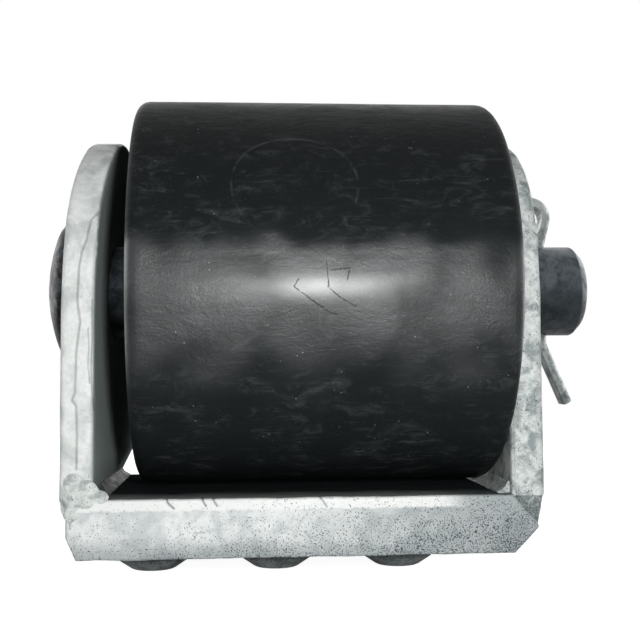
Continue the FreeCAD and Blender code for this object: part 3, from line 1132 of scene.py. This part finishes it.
@dataclass
class ThreadedBosses:
    """Turned bosses under the base plate, each with a coned face and a cut thread."""

    count: int = 3
    face_diameter: float = 12.0
    cone_height: float = 2.5
    thread_root: float = 4.0
    thread_crest: float = 3.42
    thread_pitch: float = 1.25
    thread_base: float = 0.9
    steps_per_turn: int = 36
    steps: int = 72

    def build(self) -> list[bpy.types.Object]:
        """Build and dress every boss."""
        return [self.boss(number) for number in range(1, self.count + 1)]

    def boss(self, number: int) -> bpy.types.Object:
        """Build one boss.

        Args:
            number: the boss's number, from 1 at the left.

        Returns:
            The finished boss.
        """
        node = f"threaded_boss_{number}"
        box = Extent.of(node)
        x, top, radius = box.centre.x, box.high.z, box.size.x / 2
        face = self.face_diameter / 2
        root = self.thread_root
        profile = [(root, top + 0.3), (root, 0.5), (root + 0.5, 0.02), (face - 0.5, 0.02), (face, 0.25),
                   (radius - 0.5, self.cone_height - 0.25), (radius - 0.1, self.cone_height + 0.2),
                   (radius - 0.02, self.cone_height + 0.8), (radius - 0.02, top + 0.3), (root, top + 0.3)]
        mesh = turned([Vector((x + r, 0, z)) for r, z in profile], Vector((x, 0, 0)), Z_AXIS, self.steps)
        self.cut_thread(mesh, x, top)
        piece = make_piece(f"turned_boss_{number}", mesh, Body.BRACKET)
        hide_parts(node)
        shade_smooth(piece, 35)
        # The bosses' dark grey is painted shade under the base plate.
        dress(piece, ZincFinish(f"zinc_boss_{number}", light=(0.34, 0.37, 0.365),
                                dull=(0.17, 0.195, 0.195), mottle=3.0, pit_share=0.06).make())
        return piece

    def cut_thread(self, mesh: bmesh.types.BMesh, x: float, top: float) -> None:
        """Add the thread's ridge as a wedge that is spun up the bore.

        Args:
            mesh: the boss's mesh.
            x: the X of its axis.
            top: the height of its top.
        """
        turns = int((top - 1.2) / self.thread_pitch)
        half = self.thread_pitch * 0.46
        buried = self.thread_root + 0.15
        corners = [(buried, self.thread_base - half), (self.thread_crest, self.thread_base),
                   (buried, self.thread_base + half)]
        wedge = mesh.faces.new([mesh.verts.new(Vector((x + r, 0, z))) for r, z in corners])
        climb = Vector((0, 0, self.thread_pitch / self.steps_per_turn))
        bmesh.ops.spin(mesh, geom=[wedge], cent=Vector((x, 0, 0)), axis=Z_AXIS, dvec=climb,
                       angle=math.tau * turns, steps=self.steps_per_turn * turns)


@dataclass
class BossWelds:
    """Rings of fillet weld round the roots of the bosses."""

    leg: float = 2.0
    steps: int = 120

    def build(self, bosses: int) -> bpy.types.Object:
        """Build and dress the rings as one piece.

        Args:
            bosses: the number of bosses.

        Returns:
            The finished rings.
        """
        mesh = bmesh.new()
        level = Extent.of("base_plate").low.z
        for number in range(1, bosses + 1):
            boss = Extent.of(f"threaded_boss_{number}")
            x, inner = boss.centre.x, boss.size.x / 2
            corners = [(inner - 0.3, level + 0.3), (inner + self.leg, level + 0.3),
                       (inner + self.leg, level - 0.15), (inner + self.leg * 0.5, level - self.leg * 0.45),
                       (inner, level - self.leg), (inner - 0.3, level - self.leg)]
            ring = profile_edges(mesh, [Vector((x + r, 0, z)) for r, z in corners + corners[:1]])
            bmesh.ops.spin(mesh, geom=ring, cent=Vector((x, 0, 0)), axis=Z_AXIS, angle=math.tau,
                           steps=self.steps, use_merge=True)
        bmesh.ops.remove_doubles(mesh, verts=mesh.verts, dist=1e-4)
        bmesh.ops.recalc_face_normals(mesh, faces=mesh.faces)
        mesh.normal_update()
        for vert in mesh.verts:
            lump = noise.noise(vert.co / 2.2) + 0.5 * noise.noise(vert.co / 0.9)
            vert.co += vert.normal * 0.18 * lump
        piece = make_piece("boss_weld_rings", mesh, Body.BRACKET)
        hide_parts("boss_welds")
        shade_smooth(piece, 60)
        # The rings' dark grey is painted shade under the base plate.
        dress(piece, ZincFinish("zinc_boss_weld", light=(0.30, 0.33, 0.325), dull=(0.15, 0.175, 0.175),
                                mottle=2.5, pit_share=0.08).make())
        return piece


# Pins


@dataclass
class ClevisPin:
    """Headed pin with a domed head, a chamfered end and a cross hole."""

    pin_radius: float = 12.0
    head_height: float = 7.0
    dome_fall: float = 0.0125
    dome_radii: tuple[float, ...] = (0.0, 3.0, 6.0, 9.0, 12.0, 14.0, 15.5)
    end_chamfer: float = 2.2
    hole_radius: float = 3.3
    hole_to_end: float = 11.5
    steps: int = 128

    def build(self) -> bpy.types.Object:
        """Build and dress the pin."""
        box = Extent.of("clevis_pin")
        z = axis_height()
        rim = box.size.z / 2
        under = box.low.x + self.head_height
        dome = [(box.low.x + 0.02 + self.dome_fall * r * r, r) for r in self.dome_radii]
        dome += [(box.low.x + 3.7, rim - 1.2), (box.low.x + 4.4, rim - 0.4), (box.low.x + 5.2, rim - 0.02),
                 (under - 0.5, rim - 0.02), (under, rim - 0.5)]
        shank = [(under, self.pin_radius), (box.high.x - self.end_chamfer - 0.25, self.pin_radius),
                 (box.high.x - self.end_chamfer + 0.15, self.pin_radius - 0.2),
                 (box.high.x - 0.3, self.pin_radius - self.end_chamfer + 0.15),
                 (box.high.x - 0.02, self.pin_radius - self.end_chamfer - 0.25), (box.high.x - 0.02, 0.0)]
        points = [Vector((x, 0, z + r)) for x, r in dome + shank]
        mesh = turned(points, Vector((0, 0, z)), X_AXIS, self.steps)
        piece = make_piece("headed_pin", mesh, Body.PIN)
        hole_x = box.high.x - self.hole_to_end
        low, high = (Vector((hole_x, 0, z + reach)) for reach in (-20, 20))
        cut_away(piece, rod(self.hole_radius, low, high, 48))
        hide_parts("clevis_pin")
        shade_smooth(piece, 35)
        dress(piece, SteelFinish("pin_steel", (0.085, 0.10, 0.11), (0.035, 0.044, 0.05), speck=0.40,
                                 roughness=0.30, stain=(0.020, 0.013, 0.010), stain_below_x=under - 0.5,
                                 line_stretch=(1.0, 0.2, 0.2)).make())
        return piece


@dataclass
class WireBender:
    """Bends a half-round wire in a plane across Y, one straight or bend at a time."""

    radius: float
    start: Vector
    heading: float
    arris: float = 0.35
    section_steps: int = 24

    def __post_init__(self) -> None:
        """Make the wire's end face, with its flat along the path."""
        self.mesh = bmesh.new()
        self.point = self.start.copy()
        bmesh.ops.create_circle(self.mesh, cap_ends=True, segments=self.section_steps, radius=self.radius)
        geom = self.mesh.verts[:] + self.mesh.edges[:] + self.mesh.faces[:]
        bmesh.ops.bisect_plane(self.mesh, geom=geom, plane_co=Vector((0, 0, 0)), plane_no=Vector((-1, 0, 0)),
                               clear_outer=True)
        corners = [vert for vert in self.mesh.verts
                   if abs(vert.co.x) < 1e-5 and abs(vert.co.y) > self.radius - 0.01]
        bmesh.ops.bevel(self.mesh, geom=corners, offset=self.arris, segments=2, profile=0.5,
                        affect="VERTICES", material=-1)
        turn = Matrix.Rotation(math.radians(self.heading), 4, "Y")
        bmesh.ops.transform(self.mesh, matrix=Matrix.Translation(self.point) @ turn, verts=self.mesh.verts)
        self.face = next(iter(self.mesh.faces))
        self.end = [self.face]

    @property
    def forward(self) -> Vector:
        """Return the direction that the wire runs in."""
        angle = math.radians(self.heading)
        return Vector((math.sin(angle), 0, math.cos(angle)))

    @property
    def rightward(self) -> Vector:
        """Return the direction to the right of the wire's run."""
        ahead = self.forward
        return Vector((ahead.z, 0, -ahead.x))

    def straight(self, length: float) -> None:
        """Run straight on.

        Args:
            length: how far, in millimetres.
        """
        made = bmesh.ops.extrude_face_region(self.mesh, geom=self.end)["geom"]
        bmesh.ops.translate(self.mesh, vec=self.forward * length,
                            verts=[item for item in made if isinstance(item, bmesh.types.BMVert)])
        self.drop_inner_face(made)
        self.point += self.forward * length

    def bend(self, degrees: float, radius: float) -> None:
        """Bend to the right, or to the left for a negative angle, at a radius on the flat.

        Args:
            degrees: the bend's angle.
            radius: the radius of the bend, on the wire's flat.
        """
        side = 1 if degrees > 0 else -1
        centre = self.point + self.rightward * side * radius
        steps = max(2, round(abs(degrees) / 6))
        made = bmesh.ops.spin(self.mesh, geom=self.end, cent=centre, axis=Y_AXIS,
                              angle=math.radians(degrees), steps=steps)["geom_last"]
        self.drop_inner_face(made)
        self.point = centre + Matrix.Rotation(math.radians(degrees), 3, "Y") @ (self.point - centre)
        self.heading += degrees

    def drop_inner_face(self, made: list) -> None:
        """Keep the new end face and take away the old one, unless it is the wire's first end.

        Args:
            made: what the last run or bend has made.
        """
        fresh = [item for item in made if isinstance(item, bmesh.types.BMFace)]
        old = [face for face in self.end if face.is_valid and face is not self.face]
        if old:
            bmesh.ops.delete(self.mesh, geom=old, context="FACES_ONLY")
        self.end = fresh


@dataclass
class SplitPin:
    """Split pin of half-round wire: a teardrop eye and two spread legs."""

    wire_radius: float = 2.72
    half_gap: float = 0.15
    eye_radius: float = 2.9
    eye_height: float = 8.1
    eye_shift: float = 1.0
    foot_degrees: float = 14.0
    left_foot_degrees: float = 34.0
    neck_radius: float = 3.4
    bend_drop: float = 1.5
    bend_radius: float = 5.0
    bend_degrees: float = 23.0
    near_bend_degrees: float = 11.0
    long_leg: float = 16.5
    short_leg: float = 14.5
    hole_to_end: float = 11.5
    pin_radius: float = 12.0

    def build(self) -> bpy.types.Object:
        """Build and dress the split pin."""
        pin = Extent.of("clevis_pin")
        x = pin.high.x - self.hole_to_end
        z = axis_height()
        bend = math.radians(self.bend_degrees)
        low_z = z - self.pin_radius - self.bend_drop
        foot = Vector((x + self.half_gap + self.bend_radius * (1 - math.cos(bend)), 0,
                       low_z - self.bend_radius * math.sin(bend)))
        tip = foot + Vector((math.sin(bend), 0, -math.cos(bend))) * self.long_leg
        wire = WireBender(self.wire_radius, tip, -self.bend_degrees)
        wire.straight(self.long_leg)
        wire.bend(self.bend_degrees, self.bend_radius)
        eye = Vector((x - self.eye_shift, 0, z + self.pin_radius + self.eye_height))
        angle = math.radians(self.foot_degrees)
        touch = eye + Vector((math.cos(angle), 0, -math.sin(angle))) * self.eye_radius
        rise = (touch.x - wire.point.x) / math.tan(angle)
        take = self.neck_radius * math.tan(angle / 2)
        wire.straight(touch.z - rise - take - wire.point.z)
        wire.bend(self.foot_degrees, self.neck_radius)
        wire.straight((touch - wire.point).length)
        wire.bend(-(self.foot_degrees + 180 + self.left_foot_degrees), self.eye_radius)
        angle = math.radians(self.left_foot_degrees)
        take = self.neck_radius * math.tan(angle / 2)
        wire.straight((x - self.half_gap - wire.point.x) / math.sin(angle) - take)
        wire.bend(self.left_foot_degrees, self.neck_radius)
        wire.straight(wire.point.z - low_z)
        wire.bend(self.near_bend_degrees, self.bend_radius)
        wire.straight(self.short_leg)
        piece = make_piece("bent_split_pin", wire.mesh, Body.PIN)
        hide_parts("split_pin")
        shade_smooth(piece, 35)
        dress(piece, SteelFinish("split_pin_steel", (0.34, 0.365, 0.36), (0.12, 0.135, 0.14), speck=0.6,
                                 roughness=0.34, line_stretch=(1.0, 1.0, 0.15)).make())
        return piece


# Roller


@dataclass
class RubberRoller:
    """Moulded rubber roller with rounded ends, a parting line, and a rubbed band with painted sheen."""

    corner_radius: float = 3.0
    bore_radius: float = 17.0
    steps: int = 240
    cells_along: int = 78
    parting_degrees: float = 7.0
    parting_rise: float = 0.22
    parting_width: float = 1.2
    wear_and_sheen_middle: float = -5.0
    wear_and_sheen_spread: float = 24.0
    wave: float = 0.10

    def build(self) -> bpy.types.Object:
        """Build and dress the roller."""
        box = Extent.of("rubber_roller")
        z = axis_height()
        radius = box.size.z / 2 - 0.05
        mesh = turned([Vector((x, 0, z + r)) for x, r in self.profile(box, radius)], Vector((0, 0, z)),
                      X_AXIS, self.steps)
        wear_and_sheen = mesh.verts.layers.float.new("wear_and_sheen")
        mesh.normal_update()
        for vert in mesh.verts:
            self.tread_wear_and_sheen(vert, wear_and_sheen, z, radius)
        piece = make_piece("moulded_roller", mesh, Body.ROLLER)
        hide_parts("rubber_roller")
        shade_smooth(piece, 50)
        dress(piece, RubberFinish("black_rubber", z).make())
        return piece

    def profile(self, box: Extent, radius: float) -> list[tuple[float, float]]:
        """Return the roller's half section as X and radius, back to its own start.

        Args:
            box: the roller's box.
            radius: the radius of its tread.

        Returns:
            The section's points.
        """
        corner = self.corner_radius
        inner = radius - corner
        left, right = box.low.x, box.high.x
        points = [(left, self.bore_radius), (left, radius * 0.55), (left, inner)]
        for i in range(1, 7):
            angle = math.pi / 2 * i / 6
            points.append((left + corner * (1 - math.cos(angle)), inner + corner * math.sin(angle)))
        run = right - left - 2 * corner
        cells = self.cells_along
        points += [(left + corner + run * i / cells, radius) for i in range(1, cells)]
        for i in range(0, 7):
            angle = math.pi / 2 * i / 6
            points.append((right - corner * (1 - math.sin(angle)), inner + corner * math.cos(angle)))
        points += [(right, radius * 0.55), (right, self.bore_radius), (left, self.bore_radius)]
        return points

    def tread_wear_and_sheen(self, vert: bmesh.types.BMVert, layer: bmesh.types.BMLayerItem, z: float,
             radius: float) -> None:
        """Shape one vertex of the tread and note its share of rubbing and painted sheen.

        Args:
            vert: the vertex.
            layer: the layer that keeps its share of rubbing and painted sheen.
            z: the height of the roller's axis.
            radius: the roller's radius.
        """
        point = vert.co
        reach = math.hypot(point.y, point.z - z)
        if reach < radius - self.corner_radius:
            return
        degrees = math.degrees(math.atan2(point.z - z, -point.y))
        slow = noise.noise(Vector((point.x / 14, 3.0, 7.0)))
        quick = noise.noise(Vector((point.x / 4, 5.0, 1.0)))
        off = degrees - self.parting_degrees - 1.6 * slow - 0.8 * quick
        seam = self.parting_rise * max(0.0, 1 - abs(off) / self.parting_width)
        move = self.wave * (noise.noise(point / 22) - 0.5) - self.parting_rise + seam
        # Rubbing and painted sheen fade out above the parting line.
        below = min(1.0, max(0.25, 1 - (off + 2.5 * noise.noise(point / 6)) / 7)) if off > 0 else 1.0
        fade = math.exp(-((degrees - self.wear_and_sheen_middle) / self.wear_and_sheen_spread) ** 2)
        vert[layer] = below * fade * (0.75 + 0.5 * noise.noise(point / 9))
        outward = Vector((0, point.y, point.z - z)).normalized()
        vert.co += outward * min(0.0, move)


# Studio


@dataclass
class Studio:
    """Camera, floor, lamps and backdrop."""

    eye: tuple[float, float, float] = (-11.15, -279.05, 51.16)
    yaw: float = -0.06699
    pitch: float = 0.06297
    roll: float = 0.00692
    focal_pixels: float = 1045.97
    off_centre: tuple[float, float] = (-16.94, -16.14)
    frame_pixels: float = 640.0
    key_offset: tuple[float, float] = (40.0, 17.0)
    key_size: float = 26.0
    key_watts: float = 0.50
    fill_size: float = 400.0
    fill_watts: float = 0.7
    ambient: float = 0.10
    floor_glow: float = 1.84
    floor_glow_share: float = 0.5

    def build(self) -> None:
        """Set up everything that isn't part of the object."""
        self.camera()
        self.floor()
        self.lamps()
        self.backdrop()
        bpy.context.scene.view_settings.view_transform = "Standard"

    def camera(self) -> None:
        """Place the camera that took the photograph."""
        data = bpy.data.cameras.new("camera")
        data.sensor_width = 36.0
        data.lens = self.focal_pixels / self.frame_pixels * data.sensor_width
        data.shift_x = -self.off_centre[0] / self.frame_pixels
        data.shift_y = self.off_centre[1] / self.frame_pixels
        data.clip_start = 0.01
        camera = bpy.data.objects.new("camera", data)
        angles = ((self.yaw, "Z"), (self.pitch, "X"), (self.roll, "Y"))
        yaw, pitch, roll = (Matrix.Rotation(angle, 4, axis) for angle, axis in angles)
        upright = Matrix.Rotation(math.pi / 2, 4, "X")
        camera.matrix_world = Matrix.Translation(Vector(self.eye) * MM) @ yaw @ pitch @ roll @ upright
        bpy.context.scene.collection.objects.link(camera)
        bpy.context.scene.camera = camera

    def floor(self) -> None:
        """Lay the pale floor under the boss faces."""
        mesh = bmesh.new()
        bmesh.ops.create_grid(mesh, x_segments=8, y_segments=8, size=4.0)
        data = bpy.data.meshes.new("floor")
        mesh.to_mesh(data)
        mesh.free()
        floor = bpy.data.objects.new("floor", data)
        bpy.context.scene.collection.objects.link(floor)
        paint = bpy.data.materials.new("floor_white")
        paint.use_nodes = True
        nodes, links = paint.node_tree.nodes, paint.node_tree.links
        shader = nodes["Principled BSDF"]
        shader.inputs["Base Color"].default_value = (0.86, 0.86, 0.86, 1)
        shader.inputs["Roughness"].default_value = 0.9
        glow = nodes.new("ShaderNodeEmission")
        glow.inputs["Strength"].default_value = self.floor_glow
        path = nodes.new("ShaderNodeLightPath")
        share = nodes.new("ShaderNodeMath")
        share.operation = "MULTIPLY"
        share.inputs[1].default_value = self.floor_glow_share
        links.new(path.outputs["Is Camera Ray"], share.inputs[0])
        mix = nodes.new("ShaderNodeMixShader")
        links.new(share.outputs["Value"], mix.inputs["Fac"])
        links.new(shader.outputs["BSDF"], mix.inputs[1])
        links.new(glow.outputs["Emission"], mix.inputs[2])
        links.new(mix.outputs["Shader"], nodes["Material Output"].inputs["Surface"])
        data.materials.append(paint)

    def lamps(self) -> None:
        """Hang the key beside the lens and three broad fills, each aimed at the middle."""
        eye = Vector(self.eye)
        key = eye + Vector((self.key_offset[0], 0, self.key_offset[1]))
        self.area("key", key, Vector((4, 0, 60)), self.key_size, self.key_watts)
        for name, place in (("left", (-450, 150, 150)), ("right", (450, 200, 150)), ("back", (0, 500, 200))):
            self.area(f"{name}_fill", Vector(place), Vector((0, 0, 60)), self.fill_size, self.fill_watts)

    def area(self, name: str, place: Vector, aim: Vector, size: float, watts: float) -> None:
        """Hang one square lamp, placed and aimed in millimetres.

        Args:
            name: the lamp's name.
            place: where it hangs.
            aim: the point it shines at.
            size: the length of its side.
            watts: its power.
        """
        data = bpy.data.lights.new(name, "AREA")
        data.size = size * MM
        data.energy = watts
        lamp = bpy.data.objects.new(name, data)
        turn = (place - aim).to_track_quat("Z", "Y").to_matrix().to_4x4()
        lamp.matrix_world = Matrix.Translation(place * MM) @ turn
        bpy.context.scene.collection.objects.link(lamp)

    def backdrop(self) -> None:
        """Make the world white where it is seen, mirrored or seen through, and softer as a light."""
        world = bpy.data.worlds.new("backdrop")
        bpy.context.scene.world = world
        world.use_nodes = True
        nodes, links = world.node_tree.nodes, world.node_tree.links
        soft = nodes["Background"]
        soft.inputs["Color"].default_value = (1, 1, 1, 1)
        soft.inputs["Strength"].default_value = self.ambient
        white = nodes.new("ShaderNodeBackground")
        white.inputs["Color"].default_value = (1, 1, 1, 1)
        path = nodes.new("ShaderNodeLightPath")
        seen = path.outputs["Is Camera Ray"]
        for name in ("Is Glossy Ray", "Is Transmission Ray"):
            either = nodes.new("ShaderNodeMath")
            either.operation = "MAXIMUM"
            links.new(seen, either.inputs[0])
            links.new(path.outputs[name], either.inputs[1])
            seen = either.outputs["Value"]
        mix = nodes.new("ShaderNodeMixShader")
        links.new(seen, mix.inputs["Fac"])
        links.new(soft.outputs["Background"], mix.inputs[1])
        links.new(white.outputs["Background"], mix.inputs[2])
        links.new(mix.outputs["Shader"], nodes["World Output"].inputs["Surface"])


def report(made: bpy.types.Object | list[bpy.types.Object]) -> None:
    """Log each finished piece with its number of faces.

    Args:
        made: one piece or a list of pieces.
    """
    for piece in made if isinstance(made, list) else [made]:
        log.info("%s: %d faces", piece.name, len(piece.data.polygons))


def main() -> None:
    """Build the bracket, the pins, the roller and the studio in order."""
    logging.basicConfig(level=logging.INFO, format="%(message)s")
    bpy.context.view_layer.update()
    report(CheekPlate(Side.LEFT).build())
    report(CheekPlate(Side.RIGHT).build())
    report(BasePlate().build())
    report(CornerWelds().build())
    report(WeldToe().build())
    report(InnerWelds().build())
    bosses = ThreadedBosses()
    report(bosses.build())
    report(BossWelds().build(bosses.count))
    report(ClevisPin().build())
    report(SplitPin().build())
    report(RubberRoller().build())
    core = SteelFinish("core_tube", (0.33, 0.34, 0.35), (0.16, 0.17, 0.175), roughness=0.42,
                       line_stretch=(1.0, 0.2, 0.2))
    dress(frame["nodes"]["roller_core"], core.make())
    Studio().build()


if __name__ == "__main__":
    main()
